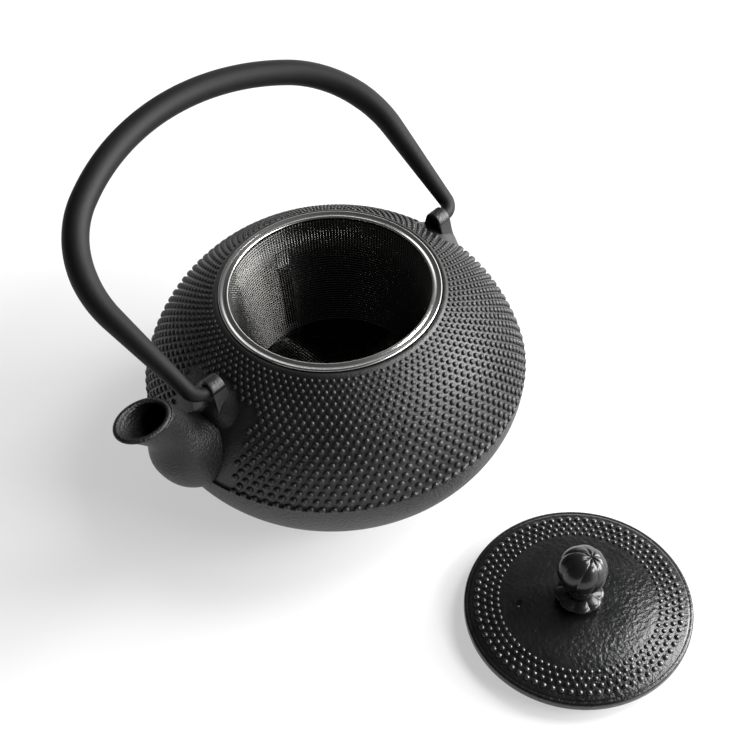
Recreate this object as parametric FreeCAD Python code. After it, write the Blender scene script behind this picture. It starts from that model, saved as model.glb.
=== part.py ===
import FreeCAD, Part
import math
import os
from FreeCAD import Matrix, Placement, Rotation, Vector

# A round cast iron teapot with a folding bail handle, a steel tea basket and its lid, which
# lies beside it. Millimetres, +Z up. The pot's axis is Z and it stands on Z = 0. The spout
# points along -X, the ears are on the X axis and the lid lies in front, towards -Y.

# Pot casting
foot_radius = 35.0
foot_height = 4.2
ridge_radius = 74.6
bowl_core_radius = 12.0
bowl_depth = 46.0
dome_rise = 39.5
dome_bulge = 5.0
collar_width = 2.65
collar_chamfer = 0.8
wall = 4.0
throat_depth = 4.3

# Ears that carry the handle
ear_radius = 59.5
ear_thickness = 6.0
ear_base_width = 19.0
ear_top_radius = 4.4
pivot_rise = 34.5

# Spout: each station is its reach past the shoulder ridge, its height over the ridge, the lean
# of its plane in degrees, and its half depth and half width
spout_root = (-16.6, 3.0, -65.0, 15.5, 13.0)
spout_belly = (-3.4, 9.2, -55.0, 15.2, 12.0)
spout_waist = (4.4, 18.8, -36.0, 12.0, 11.2)
spout_neck = (7.6, 31.0, -18.0, 8.8, 7.9)
spout_mouth = (16.3, 43.8, -1.2, 11.1, 8.8)
spout_lip = 2.2
spout_bore_radius = 9.5
spout_bore_overrun = 2.0
spout_steps = 4

# Bail handle, drawn upright in its own plane and then leaned back about the ears
handle_reach = 98.0
handle_half_width = 72.5
handle_widest_share = 0.47
handle_shoulder_share = 0.449
handle_elbow_radius = 5.0
handle_grip_diameter = 10.1
handle_pin_diameter = 5.2
handle_taper_share = 0.6
handle_taper_power = 0.65
handle_lean = 63.0
handle_side_gap = 0.7
pin_setback = 0.6
pin_clearance = 0.08

# Steel tea basket
basket_rim_radius = 42.0
basket_opening_radius = 38.1
basket_rim_thickness = 1.2
basket_trough_depth = 0.5
basket_bead_width = 1.3
basket_skirt_depth = 6.0
basket_sheet = 0.6
basket_lip = 0.8
basket_depth = 51.2
basket_floor_radius = 33.5
basket_hoop_width = 4.5
basket_hoop_thickness = 1.0
seam_width_angle = 8.0
seam_azimuth = 78.0
seam_margin = 4.0
basket_seat_clearance = 0.35
mouth_clearance = 0.4
sheet_gap = 0.05

# Lid, lying on its locating ring
lid_overhang = 0.6
lid_gap = 10.0
lid_side_shift = -1.2
lid_ring_depth = 4.5
lid_ring_width = 3.2
lid_ring_clearance = 0.6
lid_plate = 4.0
lid_edge_round = 1.2
lid_shoulder_width = 2.0
lid_band_width = 12.1
lid_band_slope = 0.182
lid_crown_rise = 1.3
vent_distance = 22.4
vent_azimuth = 138.0
vent_diameter = 2.9

# Knob and what holds it
boss_radius = 11.0
seat_radius = 9.8
seat_height = 5.0
seat_foot_radius = 7.0
seat_top_radius = 5.6
seat_petals = 8
petal_notch_radius = 1.3
knob_radius = 9.2
knob_neck_radius = 4.6
knob_neck_height = 4.2
knob_lobes = 8
flute_depth = 1.0
knob_latitudes = (-68, -45, -22, 0, 22, 45, 65, 80)
screw_radius = 2.0
screw_clearance = 0.1
screw_engagement = 8.0
screw_head_radius = 3.6
screw_head_height = 2.0
washer_radius = 5.6
washer_thickness = 0.8

# Places worked out from the sizes above
foot_share = (foot_radius - bowl_core_radius) / (ridge_radius - bowl_core_radius)
foot_turn = math.acos(foot_share)
ridge_height = foot_height + bowl_depth * math.sin(foot_turn)
collar_height = ridge_height + dome_rise
seat_ledge_radius = basket_rim_radius + basket_seat_clearance
collar_radius = seat_ledge_radius + collar_width
skirt_inner = basket_opening_radius + basket_lip
skirt_outer = skirt_inner + basket_sheet
mouth_radius = skirt_outer + mouth_clearance
collar_top = collar_height + collar_chamfer
ledge_height = collar_top - basket_trough_depth
rim_top = ledge_height + basket_rim_thickness
pivot_height = ridge_height + pivot_rise
handle_widest_at = handle_reach * handle_widest_share
handle_shoulder_radius = handle_reach * handle_shoulder_share
lid_radius = basket_rim_radius + lid_overhang
lid_place = Vector(lid_side_shift, -(ridge_radius + lid_radius + lid_gap), 0)
lid_edge_top = lid_ring_depth + lid_plate
lid_shoulder_radius = lid_radius - lid_shoulder_width
lid_band_inner = lid_shoulder_radius - lid_band_width
lid_band_top = lid_edge_top + lid_band_width * lid_band_slope
lid_top = lid_band_top + lid_crown_rise
up = Vector(0, 0, 1)
centre = Vector(0, 0, 0)


def at(radius, height):
    return Vector(radius, 0, height)


def run(points):
    return [Part.LineSegment(a, b).toShape() for a, b in zip(points, points[1:])]


def bulged(start, end, bulge):
    """Arc from start to end whose middle stands the bulge out from the chord, away from the axis."""
    chord = end - start
    outward = Vector(abs(chord.z), 0, abs(chord.x)).normalize()
    return Part.Arc(start, (start + end) * 0.5 + outward * bulge, end).toShape()


def bowl_curve(radius, depth, end_turn):
    """Quarter-ellipse wall below the ridge, from the ridge down to the given turn."""
    middle = at(bowl_core_radius, ridge_height)
    ellipse = Part.Ellipse(at(radius, ridge_height), at(bowl_core_radius, ridge_height - depth), middle)
    return Part.ArcOfEllipse(ellipse, 0, end_turn).toShape()


def turned(edges, angle=360):
    """Solid turned about Z from a closed outline in the XZ plane."""
    outline = Part.Wire(Part.__sortEdges__(edges))
    return Part.Face(outline).revolve(centre, up, angle)


def cylinder(radius, bottom, top):
    return Part.makeCylinder(radius, top - bottom, Vector(0, 0, bottom))


def section(station, lift=0.0):
    """Oval round a spout station, moved along the station's normal by the lift."""
    reach, rise, lean, half_depth, half_width = station
    stretch = Matrix()
    stretch.scale(half_depth, half_width, 1)
    oval = Part.makeCircle(1.0).transformGeometry(stretch)
    oval.translate(Vector(0, 0, lift))
    place = Placement(Vector(-(ridge_radius + reach), 0, ridge_height + rise), Rotation(Vector(0, 1, 0), lean))
    return Part.Wire(oval.transformed(place.toMatrix()))


def eased(stations):
    """The stations with smooth ones between them: each value follows a cubic through its neighbours."""
    padded = [stations[0]] + list(stations) + [stations[-1]]
    filled = []
    for spans in zip(padded, padded[1:], padded[2:], padded[3:]):
        for i in range(spout_steps):
            t = i / spout_steps
            weights = (-t / 2 + t * t - t ** 3 / 2, 1 - 2.5 * t * t + 1.5 * t ** 3,
                       t / 2 + 2 * t * t - 1.5 * t ** 3, -t * t / 2 + t ** 3 / 2)
            filled.append(tuple(sum(w * v for w, v in zip(weights, values)) for values in zip(*spans)))
    return filled + [stations[-1]]


def drawn_in(station, inset):
    return station[:3] + (station[3] - inset, station[4] - inset)


def spout_solid():
    stations = (spout_root, spout_belly, spout_waist, spout_neck, spout_mouth)
    return Part.makeLoft([section(s) for s in eased(stations)], True, True)


def spout_bore():
    """Channel from the pot's inside to the mouth, kept to the bore radius where the root is thick."""
    stations = [drawn_in(s, s[3] - spout_bore_radius) for s in (spout_root, spout_belly)]
    stations += [drawn_in(s, spout_lip) for s in (spout_waist, spout_neck, spout_mouth)]
    channel = Part.makeLoft([section(s) for s in eased(stations)], True, True)
    mouth = stations[-1]
    return [channel, Part.makeLoft([section(mouth), section(mouth, spout_bore_overrun)], True, True)]


def ear():
    """Lug on the dome at +X: a rounded gable that carries the handle's pin."""
    outer = ear_radius + ear_thickness / 2
    chord_share = (ridge_radius - outer) / (ridge_radius - collar_radius)
    base = ridge_height + dome_rise * chord_share
    half = ear_base_width / 2
    side = outer - ear_thickness
    reach = math.hypot(half, pivot_height - base)
    tangent = math.acos(ear_top_radius / reach) - math.atan2(pivot_height - base, half)
    right = Vector(side, ear_top_radius * math.cos(tangent), pivot_height + ear_top_radius * math.sin(tangent))
    left = Vector(side, -right.y, right.z)
    top = Vector(side, 0, pivot_height + ear_top_radius)
    edges = run([left, Vector(side, -half, base), Vector(side, half, base), right])
    edges.append(Part.Arc(right, top, left).toShape())
    return Part.Face(Part.Wire(Part.__sortEdges__(edges))).extrude(Vector(ear_thickness, 0, 0))


def pot_body():
    foot_edge = at(foot_radius, foot_height)
    ridge = at(ridge_radius, ridge_height)
    collar = at(collar_radius, collar_height)
    outside = run([at(0, collar_top), at(0, 0), at(foot_radius, 0), foot_edge])
    outside.append(bowl_curve(ridge_radius, bowl_depth, foot_turn))
    outside.append(bulged(ridge, collar, dome_bulge))
    outside += run([collar, at(collar_radius - collar_chamfer, collar_top), at(0, collar_top)])
    floor = ridge_height - bowl_depth + wall
    throat = at(mouth_radius, ledge_height - throat_depth)
    above = collar_top + wall
    inside = run([at(0, above), at(0, floor), at(bowl_core_radius, floor)])
    inside.append(bowl_curve(ridge_radius - wall, bowl_depth - wall, math.pi / 2))
    inside.append(bulged(at(ridge_radius - wall, ridge_height), throat, dome_bulge))
    inside += run([throat, at(mouth_radius, ledge_height), at(seat_ledge_radius, ledge_height),
                   at(seat_ledge_radius, above), at(0, above)])
    lug = ear()
    ears = [lug, lug.mirror(centre, Vector(1, 0, 0))]
    casting = turned(outside).fuse(ears + [spout_solid()])
    hole_radius = handle_pin_diameter / 2 + pin_clearance
    hole_start = ear_radius - ear_thickness
    hole = Part.makeCylinder(hole_radius, 2 * ear_thickness, at(hole_start, pivot_height), Vector(1, 0, 0))
    holes = [hole, hole.mirror(centre, Vector(1, 0, 0))]
    return casting.cut([turned(inside)] + spout_bore() + holes)


def handle_path():
    """Points, headings and heights of the bail from the left pin's end to the right one.

    Each half is a straight pin, an elbow arc, a straight leg that touches both arcs, a shoulder
    arc and half of the top arc. The top arc's radius follows from the reach and the shoulder.
    """
    elbow_x = ear_radius + ear_thickness / 2 + handle_side_gap
    elbow_z = handle_elbow_radius
    shoulder_x = handle_half_width - handle_shoulder_radius
    shoulder_z = handle_widest_at
    drop = handle_reach - shoulder_z
    top_radius = (shoulder_x ** 2 + drop ** 2 - handle_shoulder_radius ** 2) / (2 * (drop - handle_shoulder_radius))
    top_z = handle_reach - top_radius
    across = math.hypot(shoulder_x - elbow_x, shoulder_z - elbow_z)
    slope = math.atan2(shoulder_z - elbow_z, shoulder_x - elbow_x)
    leg = slope - math.acos((handle_elbow_radius - handle_shoulder_radius) / across)
    crest = math.atan2(shoulder_z - top_z, shoulder_x)
    pin_end = ear_radius - ear_thickness / 2 + pin_setback
    half = [(pin_end, 0.0, -math.pi / 2), ((pin_end + elbow_x) / 2, 0.0, -math.pi / 2)]
    arcs = ((elbow_x, elbow_z, handle_elbow_radius, -math.pi / 2, leg, 6),
            (shoulder_x, shoulder_z, handle_shoulder_radius, leg, crest, 9),
            (0.0, top_z, top_radius, crest, math.pi / 2, 5))
    for x, z, radius, start, end, count in arcs:
        first = 0 if radius == handle_elbow_radius else 1
        steps = [start + (end - start) * i / count for i in range(first, count + 1)]
        if radius == handle_shoulder_radius:
            steps = [start] + steps
        half += [(x + radius * math.cos(a), z + radius * math.sin(a), a) for a in steps]
    other = [(-x, z, math.pi - a) for x, z, a in half[:-1]]
    return half + other[::-1]


def handle():
    """Round bail, thickest at the top, lofted along its path and leaned back about the ears' axis."""
    rings = []
    for x, z, facing in handle_path():
        swell = min(max(z, 0.0) / (handle_reach * handle_taper_share), 1.0) ** handle_taper_power
        radius = (handle_pin_diameter + (handle_grip_diameter - handle_pin_diameter) * swell) / 2
        ring = Part.makeCircle(radius)
        ring.Placement = Placement(at(x, z), Rotation(Vector(0, 1, 0), -math.degrees(facing)))
        rings.append(Part.Wire(ring))
    bail = Part.makeLoft(rings, True, True)
    bail.translate(Vector(0, 0, pivot_height))
    bail.rotate(Vector(0, 0, pivot_height), Vector(1, 0, 0), -handle_lean)
    return bail


def infuser_rim():
    """Pressed flange with a bead at each edge and a skirt that hangs in the mouth."""
    bead = basket_rim_thickness / 2
    mid = ledge_height + bead
    trough = rim_top - basket_trough_depth
    outer = basket_rim_radius - bead
    inner = basket_opening_radius + bead
    edges = [Part.Arc(at(outer, ledge_height), at(basket_rim_radius, mid), at(outer, rim_top)).toShape()]
    edges += run([at(outer, rim_top), at(basket_rim_radius - basket_bead_width, trough),
                  at(basket_opening_radius + basket_bead_width, trough), at(inner, rim_top)])
    edges.append(Part.Arc(at(inner, rim_top), at(basket_opening_radius, mid), at(inner, ledge_height)).toShape())
    bottom = ledge_height - basket_skirt_depth
    edges += run([at(inner, ledge_height), at(skirt_inner, ledge_height), at(skirt_inner, bottom),
                  at(skirt_outer, bottom), at(skirt_outer, ledge_height), at(outer, ledge_height)])
    return turned(edges)


basket_bottom = ledge_height - basket_depth
basket_top_radius = skirt_inner - sheet_gap


def infuser_wall():
    """Tapered mesh wall, from under the flange down to the bottom hoop."""
    outline = [at(basket_top_radius, ledge_height), at(basket_floor_radius, basket_bottom),
               at(basket_floor_radius - basket_sheet, basket_bottom),
               at(basket_top_radius - basket_sheet, ledge_height), at(basket_top_radius, ledge_height)]
    return turned(run(outline))


def infuser_seam():
    """Strip that closes the mesh, following the inside of the tapered wall."""
    taper = (basket_top_radius - basket_floor_radius) / basket_depth
    low = basket_bottom + seam_margin
    high = ledge_height - basket_skirt_depth - seam_margin
    face = basket_sheet + sheet_gap
    low_radius = basket_floor_radius + taper * (low - basket_bottom) - face
    high_radius = basket_floor_radius + taper * (high - basket_bottom) - face
    outline = [at(low_radius, low), at(high_radius, high), at(high_radius - basket_sheet, high),
               at(low_radius - basket_sheet, low), at(low_radius, low)]
    strip = turned(run(outline), seam_width_angle)
    strip.rotate(centre, up, seam_azimuth - seam_width_angle / 2)
    return strip


def infuser_hoop():
    inner = basket_floor_radius - basket_hoop_width
    ring = cylinder(basket_floor_radius, basket_bottom - basket_hoop_thickness, basket_bottom)
    return ring.cut(cylinder(inner, basket_bottom - 2 * basket_hoop_thickness, basket_bottom + basket_sheet))


def infuser_floor():
    radius = basket_floor_radius - basket_sheet - sheet_gap
    return cylinder(radius, basket_bottom, basket_bottom + basket_sheet)


def lid():
    """Shallow domed plate with a stud band, a rounded edge and a locating ring underneath."""
    ring_outer = basket_opening_radius - lid_ring_clearance
    ring_inner = ring_outer - lid_ring_width
    edge_low = lid_ring_depth + lid_edge_round
    edge_high = lid_edge_top - lid_edge_round
    side = lid_radius - lid_edge_round
    under = lid_top - lid_plate
    edges = run([at(0, under), at(boss_radius, under), at(lid_band_inner, lid_band_top - lid_plate),
                 at(ring_inner, lid_ring_depth), at(ring_inner, 0), at(ring_outer, 0),
                 at(ring_outer, lid_ring_depth), at(side, lid_ring_depth), at(lid_radius, edge_low),
                 at(lid_radius, edge_high), at(lid_shoulder_radius, lid_edge_top),
                 at(lid_band_inner, lid_band_top)])
    edges.append(bulged(at(lid_band_inner, lid_band_top), at(boss_radius, lid_top), lid_crown_rise / 4))
    edges += run([at(boss_radius, lid_top), at(0, lid_top), at(0, under)])
    plate = turned(edges)
    vent = cylinder(vent_diameter / 2, 0, lid_top + lid_plate)
    turn = math.radians(vent_azimuth)
    vent.translate(Vector(vent_distance * math.cos(turn), vent_distance * math.sin(turn), 0))
    shank_hole = cylinder(screw_radius + screw_clearance, 0, lid_top + lid_plate)
    return plate.cut([vent, shank_hole])


seat_top = lid_top + seat_height
knob_middle = seat_top + knob_neck_height + knob_radius


def knob_seat():
    """Flower-shaped washer: a flared disc with a notch between each two petals."""
    edges = run([at(0, seat_top), at(0, lid_top), at(seat_foot_radius, lid_top)])
    edges.append(bulged(at(seat_foot_radius, lid_top), at(seat_radius, lid_top + seat_height / 2), seat_height / 10))
    edges.append(bulged(at(seat_radius, lid_top + seat_height / 2), at(seat_top_radius, seat_top), seat_height / 6))
    edges += run([at(seat_top_radius, seat_top), at(0, seat_top)])
    notches = []
    for i in range(seat_petals):
        turn = 2 * math.pi * i / seat_petals
        notch = cylinder(petal_notch_radius, lid_top - seat_height, seat_top + seat_height)
        notch.translate(Vector(seat_radius * math.cos(turn), seat_radius * math.sin(turn), 0))
        notches.append(notch)
    hole = cylinder(screw_radius + screw_clearance, lid_top - seat_height, seat_top + seat_height)
    return turned(edges).cut(notches + [hole])


def lobed_ring(latitude):
    """Closed outline of the fluted ball at a latitude: one arc for each lobe, meeting in the flutes."""
    crest = knob_radius * math.cos(latitude)
    height = knob_middle + knob_radius * math.sin(latitude)

    def spoke(radius, step):
        turn = math.pi * step / knob_lobes
        return Vector(radius * math.cos(turn), radius * math.sin(turn), height)

    flute = crest * (1 - flute_depth / knob_radius)
    arcs = [Part.Arc(spoke(flute, 2 * i), spoke(crest, 2 * i + 1), spoke(flute, 2 * i + 2)).toShape()
            for i in range(knob_lobes)]
    return Part.Wire(arcs)


def knob():
    """Fluted ball on a short neck, with a blind hole for the screw."""
    latitudes = [math.radians(d) for d in knob_latitudes]
    ball = Part.makeLoft([lobed_ring(latitude) for latitude in latitudes], True, True)
    neck = cylinder(knob_neck_radius, seat_top, knob_middle)
    hole = cylinder(screw_radius + screw_clearance, seat_top - seat_height, seat_top + screw_engagement)
    return ball.fuse(neck).cut(hole)


washer_top = lid_top - lid_plate
washer_bottom = washer_top - washer_thickness


def knob_screw():
    head = cylinder(screw_head_radius, washer_bottom - screw_head_height, washer_bottom)
    return head.fuse(cylinder(screw_radius, washer_bottom, seat_top + screw_engagement - screw_clearance))


def knob_washer():
    disc = cylinder(washer_radius, washer_bottom, washer_top)
    return disc.cut(cylinder(screw_radius + screw_clearance, washer_bottom - lid_plate, washer_top + lid_plate))


def main():
    os.makedirs("parts", exist_ok=True)
    pot_pieces = (pot_body, handle, infuser_rim, infuser_wall, infuser_seam, infuser_hoop, infuser_floor)
    lid_pieces = (lid, knob_seat, knob, knob_screw, knob_washer)
    for piece in pot_pieces + lid_pieces:
        shape = piece()
        if piece in lid_pieces:
            shape.translate(lid_place)
        print(piece.__name__, "solids", len(shape.Solids), "valid", shape.isValid(),
              "volume", round(shape.Volume, 1), "box", shape.BoundBox)
        shape.exportStep("parts/" + piece.__name__ + ".step")


main()
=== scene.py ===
import math
import bmesh
import bpy
import numpy as np
from mathutils import Matrix, Vector


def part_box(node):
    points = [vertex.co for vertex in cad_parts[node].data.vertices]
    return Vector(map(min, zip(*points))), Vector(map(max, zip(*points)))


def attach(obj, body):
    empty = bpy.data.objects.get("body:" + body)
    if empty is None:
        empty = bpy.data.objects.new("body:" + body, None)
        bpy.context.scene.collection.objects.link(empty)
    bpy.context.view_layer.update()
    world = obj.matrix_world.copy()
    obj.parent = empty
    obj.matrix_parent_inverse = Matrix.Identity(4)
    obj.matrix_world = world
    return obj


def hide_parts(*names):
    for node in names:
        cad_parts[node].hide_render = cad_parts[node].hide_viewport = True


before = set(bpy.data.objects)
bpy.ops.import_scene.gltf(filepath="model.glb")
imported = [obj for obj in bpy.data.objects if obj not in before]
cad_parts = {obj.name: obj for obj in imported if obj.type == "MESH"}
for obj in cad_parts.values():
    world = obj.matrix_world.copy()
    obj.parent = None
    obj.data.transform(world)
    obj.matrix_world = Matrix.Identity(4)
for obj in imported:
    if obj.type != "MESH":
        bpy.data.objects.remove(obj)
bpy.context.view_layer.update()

# Sizes in millimetres, in the pot's own frame: the axis is Z, the spout points along -X.
MM = 0.001
FOOT_RADIUS = 35.0
RIDGE_RADIUS, RIDGE_HEIGHT = 74.6, 46.98
BOWL_CORE, BOWL_DEPTH = 12.0, 46.0
COLLAR_RADIUS, COLLAR_HEIGHT, COLLAR_TOP = 45.0, 86.48, 87.28
DOME_BULGE = 5.0
DOME_INSET = 0.7
WALL = 4.0
LEDGE_RADIUS, LEDGE_HEIGHT = 42.35, 86.78
MOUTH_RADIUS, THROAT_HEIGHT = 39.9, 82.48
PIVOT_HEIGHT = 81.48
EAR_RADIUS, EAR_THICKNESS, EAR_BORE = 59.5, 6.0, 5.36
LID_BOX = np.array(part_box("lid")) / MM
LID_CENTRE = np.array([*LID_BOX.mean(axis=0)[:2], 0.0])
LID_TOP = LID_BOX[1][2]

# Studs: how many go round and the sides of each, then half width and height as shares of the pitch.
STUD_COLUMNS, STUD_SIDES = 108, 8
STUD_WIDTH, STUD_HEIGHT = 0.335, 0.26
# Rows down the dome: spacing as a share of the pitch, length of the dome's arc, first and last share.
ROW_SPACING, DOME_ARC = 0.74, 50.8
FIRST_ROW, LAST_ROW = 0.012, 0.985
# Bare patches: half axes of the oval round an ear; the spout's start along X, half width and top.
EAR_BARE = (6.5, 9.5)
SPOUT_BARE = (48, 17.5, 77)
LID_STUDS = 72
LID_ROWS = (37.8, 35.24, 32.75, 30.26)
LID_STUD_WIDTH, LID_STUD_HEIGHT = 0.34, 0.27


def grid_faces(rows, columns, close_rows=False):
    """Quads between neighbouring points of a rows x columns grid: columns close up, rows on request."""
    r = np.arange(rows if close_rows else rows - 1)
    r, c = np.meshgrid(r, np.arange(columns), indexing="ij")
    down, right = (r + 1) % rows, (c + 1) % columns
    quads = np.stack([r * columns + c, r * columns + right, down * columns + right, down * columns + c], -1)
    return quads.reshape(-1, 4)


def make_piece(name, points, faces, body, slot, material, replaces=None, weld=True):
    """Mesh object from points in millimetres, welded at its poles and seams, riding on a body.

    Faces of up to four corners are shaded smooth, and the flat feet of studs stay flat.
    """
    mesh = bpy.data.meshes.new(name)
    faces = faces.tolist() if isinstance(faces, np.ndarray) else faces
    mesh.from_pydata((np.asarray(points).reshape(-1, 3) * MM).tolist(), [], faces)
    if weld:
        shape = bmesh.new()
        shape.from_mesh(mesh)
        bmesh.ops.remove_doubles(shape, verts=shape.verts, dist=1e-6)
        bmesh.ops.dissolve_degenerate(shape, edges=shape.edges, dist=1e-7)
        bmesh.ops.recalc_face_normals(shape, faces=shape.faces)
        shape.to_mesh(mesh)
        shape.free()
    corners = np.zeros(len(mesh.polygons), int)
    mesh.polygons.foreach_get("loop_total", corners)
    mesh.polygons.foreach_set("use_smooth", corners <= 4)
    mesh.materials.append(material)
    piece = bpy.data.objects.new(name, mesh)
    bpy.context.scene.collection.objects.link(piece)
    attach(piece, body)
    if replaces:
        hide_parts(replaces)
    return piece


def face_middles(piece):
    """Middle of each face of a piece, in millimetres, one row each."""
    middles = np.zeros(len(piece.data.polygons) * 3)
    piece.data.polygons.foreach_get("center", middles)
    return middles.reshape(-1, 3) / MM


def capped(rings):
    """Rings with each open end drawn in to the middle of its last ring, and the faces between them."""
    first = np.broadcast_to(rings[0].mean(axis=0), rings[:1].shape)
    last = np.broadcast_to(rings[-1].mean(axis=0), rings[-1:].shape)
    rings = np.concatenate([first, rings, last])
    return rings, grid_faces(len(rings), rings.shape[1])


def bend(start, end, bulge, count):
    """Parabolic stretch of an outline from start to end, standing the bulge out from its chord."""
    start, end = np.array(start, float), np.array(end, float)
    t = np.linspace(0, 1, count)[:, None]
    chord = end - start
    outward = np.array([abs(chord[1]), abs(chord[0])]) / np.hypot(*chord)
    return start + chord * t + outward * bulge * 4 * t * (1 - t)


def rounded(corner, start, end, count=5):
    """Quadratic corner of an outline: leaves start and meets end, with the corner as its control point."""
    corner, start, end = (np.array(p, float) for p in (corner, start, end))
    t = np.linspace(0, 1, count)[:, None]
    return (1 - t) ** 2 * start + 2 * t * (1 - t) * corner + t ** 2 * end


def bowl(radius, depth, last_turn, count):
    """Quarter ellipse below the ridge, from its lower end up to the ridge."""
    t = np.linspace(last_turn, 0, count)
    return np.stack([BOWL_CORE + (radius - BOWL_CORE) * np.cos(t), RIDGE_HEIGHT - depth * np.sin(t)], -1)


def turned(outline, segments=192, centre=(0.0, 0.0, 0.0)):
    """Surface of revolution: each outline point (radius, height) goes once round the vertical axis."""
    turn = np.linspace(0, 2 * np.pi, segments, endpoint=False)
    r, z = outline[:, 0][:, None], outline[:, 1][:, None]
    ring = np.stack([r * np.cos(turn), r * np.sin(turn), z + 0 * turn], -1)
    return ring + np.array(centre), grid_faces(len(outline), segments)


def drill(piece, centre, radius, low, high, level=False):
    """Cuts a round hole through a piece with an upright cylinder, or a level one along X."""
    outline = np.array([(0, low), (radius, low), (radius, high), (0, high)])
    rings, faces = turned(outline, 24, (*centre, 0.0))
    rings = rings[..., [2, 0, 1]] if level else rings
    mesh = bpy.data.meshes.new("cutter")
    mesh.from_pydata((rings.reshape(-1, 3) * MM).tolist(), [], faces.tolist())
    shape = bmesh.new()
    shape.from_mesh(mesh)
    bmesh.ops.remove_doubles(shape, verts=shape.verts, dist=1e-6)
    bmesh.ops.recalc_face_normals(shape, faces=shape.faces)
    shape.to_mesh(mesh)
    shape.free()
    cutter = bpy.data.objects.new("cutter", mesh)
    bpy.context.scene.collection.objects.link(cutter)
    modifier = piece.modifiers.new("hole", "BOOLEAN")
    modifier.object, modifier.operation, modifier.solver = cutter, "DIFFERENCE", "EXACT"
    cut = bpy.data.meshes.new_from_object(piece.evaluated_get(bpy.context.evaluated_depsgraph_get()))
    piece.modifiers.clear()
    piece.data = cut
    bpy.data.objects.remove(cutter)


def dome_at(t):
    """Point and outward normal of the dome's outline at share t of the way from collar to ridge."""
    start = np.array([COLLAR_RADIUS, COLLAR_HEIGHT])
    end = np.array([RIDGE_RADIUS, RIDGE_HEIGHT])
    chord = end - start
    outward = np.array([-chord[1], chord[0]]) / np.hypot(*chord)
    t = np.asarray(t, float)[:, None]
    point = start + chord * t + outward * (4 * DOME_BULGE * t * (1 - t) - DOME_INSET)
    slope = chord + outward * 4 * DOME_BULGE * (1 - 2 * t)
    normal = np.stack([-slope[:, 1], slope[:, 0]], -1)
    return point, normal / np.linalg.norm(normal, axis=1, keepdims=True)


# Materials

def new_material(name):
    """New node material, with its node tree and its shader."""
    material = bpy.data.materials.new(name)
    material.use_nodes = True
    tree = material.node_tree
    return material, tree, tree.nodes["Principled BSDF"]


def set_range(node, source, target):
    """Makes a map range node take the source's two ends to the target's two ends."""
    for key, value in zip(("From Min", "From Max", "To Min", "To Max"), (*source, *target)):
        node.inputs[key].default_value = value


def casting_grain_group():
    """Sand-cast skin: grit noise mixed into cloud noise is the height, and the cloud alone the tone."""
    group = bpy.data.node_groups.new("casting_grain", "ShaderNodeTree")
    for name, value in (("Grit Scale", 900.0), ("Cloud Scale", 60.0), ("Grit Share", 0.6)):
        socket = group.interface.new_socket(name, in_out="INPUT", socket_type="NodeSocketFloat")
        socket.default_value = value
    for name in ("Height", "Tone"):
        group.interface.new_socket(name, in_out="OUTPUT", socket_type="NodeSocketFloat")
    nodes, links = group.nodes, group.links
    inputs, outputs = nodes.new("NodeGroupInput"), nodes.new("NodeGroupOutput")
    place = nodes.new("ShaderNodeTexCoord")
    grit, cloud = nodes.new("ShaderNodeTexNoise"), nodes.new("ShaderNodeTexNoise")
    grit.inputs["Detail"].default_value = 3.0
    cloud.inputs["Detail"].default_value = 4.0
    blend = nodes.new("ShaderNodeMix")
    links.new(place.outputs["Object"], grit.inputs["Vector"])
    links.new(place.outputs["Object"], cloud.inputs["Vector"])
    links.new(inputs.outputs["Grit Scale"], grit.inputs["Scale"])
    links.new(inputs.outputs["Cloud Scale"], cloud.inputs["Scale"])
    links.new(inputs.outputs["Grit Share"], blend.inputs["Factor"])
    links.new(cloud.outputs["Fac"], blend.inputs["A"])
    links.new(grit.outputs["Fac"], blend.inputs["B"])
    links.new(blend.outputs["Result"], outputs.inputs["Height"])
    links.new(cloud.outputs["Fac"], outputs.inputs["Tone"])
    return group


grain_group = casting_grain_group()


def iron(name, dark, light, rough, grit, cloud, share, bump, depth=0.0006):
    """Black iron: the grain's tone shifts colour and roughness, and its height drives the bump."""
    material, tree, shader = new_material(name)
    grain = tree.nodes.new("ShaderNodeGroup")
    grain.node_tree = grain_group
    for key, value in (("Grit Scale", grit), ("Cloud Scale", cloud), ("Grit Share", share)):
        grain.inputs[key].default_value = value
    ramp = tree.nodes.new("ShaderNodeValToRGB")
    ramp.color_ramp.elements[0].position, ramp.color_ramp.elements[1].position = 0.35, 0.65
    ramp.color_ramp.elements[0].color = (*dark, 1)
    ramp.color_ramp.elements[1].color = (*light, 1)
    gloss = tree.nodes.new("ShaderNodeMapRange")
    set_range(gloss, (0.0, 1.0), rough)
    relief = tree.nodes.new("ShaderNodeBump")
    relief.inputs["Strength"].default_value = bump
    relief.inputs["Distance"].default_value = depth
    tree.links.new(grain.outputs["Tone"], ramp.inputs["Fac"])
    tree.links.new(grain.outputs["Tone"], gloss.inputs["Value"])
    tree.links.new(grain.outputs["Height"], relief.inputs["Height"])
    tree.links.new(ramp.outputs["Color"], shader.inputs["Base Color"])
    tree.links.new(gloss.outputs["Result"], shader.inputs["Roughness"])
    tree.links.new(relief.outputs["Normal"], shader.inputs["Normal"])
    return material


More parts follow.
